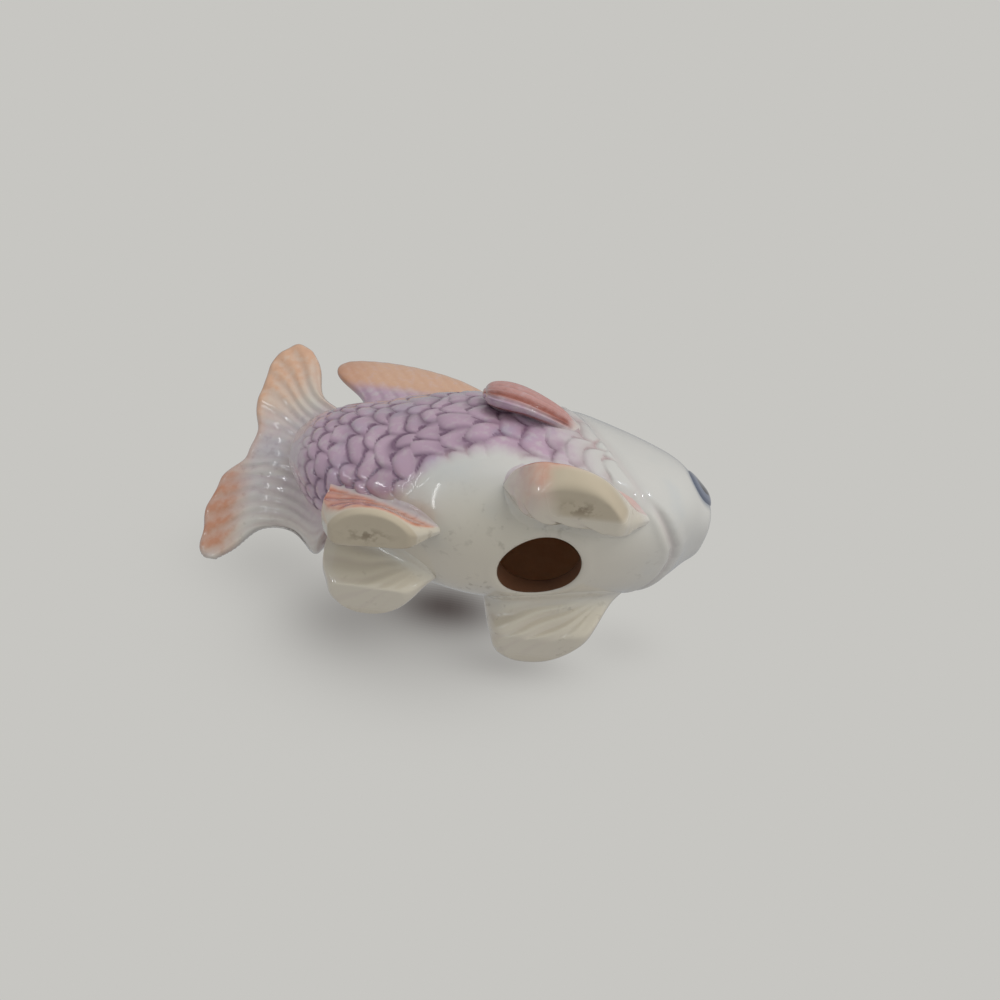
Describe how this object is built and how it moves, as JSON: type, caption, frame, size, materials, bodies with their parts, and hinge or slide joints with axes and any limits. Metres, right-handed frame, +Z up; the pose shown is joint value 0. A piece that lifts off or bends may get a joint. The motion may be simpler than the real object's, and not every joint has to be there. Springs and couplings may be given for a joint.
{
  "type": "fish figurine",
  "caption": "Hollow glazed porcelain fish with relief scales, swept fins and a round drain hole, standing on four flat fin feet.",
  "frame": {"origin": "on the standing surface, under the middle of the figure's box", "axes": "+X towards the head, +Y to the fish's left, +Z up; the four feet stand on z = 0"},
  "size_m": [0.1047, 0.0544, 0.0652],
  "materials": {
    "glazed_body": "glossy lustre glaze, mauve scales over white",
    "glazed_fin": "glossy lustre glaze, tan orange to lilac",
    "glazed_foot": "glossy white glaze with bare flat soles",
    "painted_eye": "glossy dark blue-grey paint under clear glaze"
  },
  "bodies": {
    "root": {"body_shell": "glazed_body", "tail_fin": "glazed_fin", "dorsal_fin": "glazed_fin", "left_pectoral_fin": "glazed_fin", "right_pectoral_fin": "glazed_fin", "left_pelvic_fin": "glazed_foot", "right_pelvic_fin": "glazed_foot", "left_anal_fin": "glazed_foot", "right_anal_fin": "glazed_foot", "left_eye": "painted_eye", "right_eye": "painted_eye"}
  },
  "joints": []
}
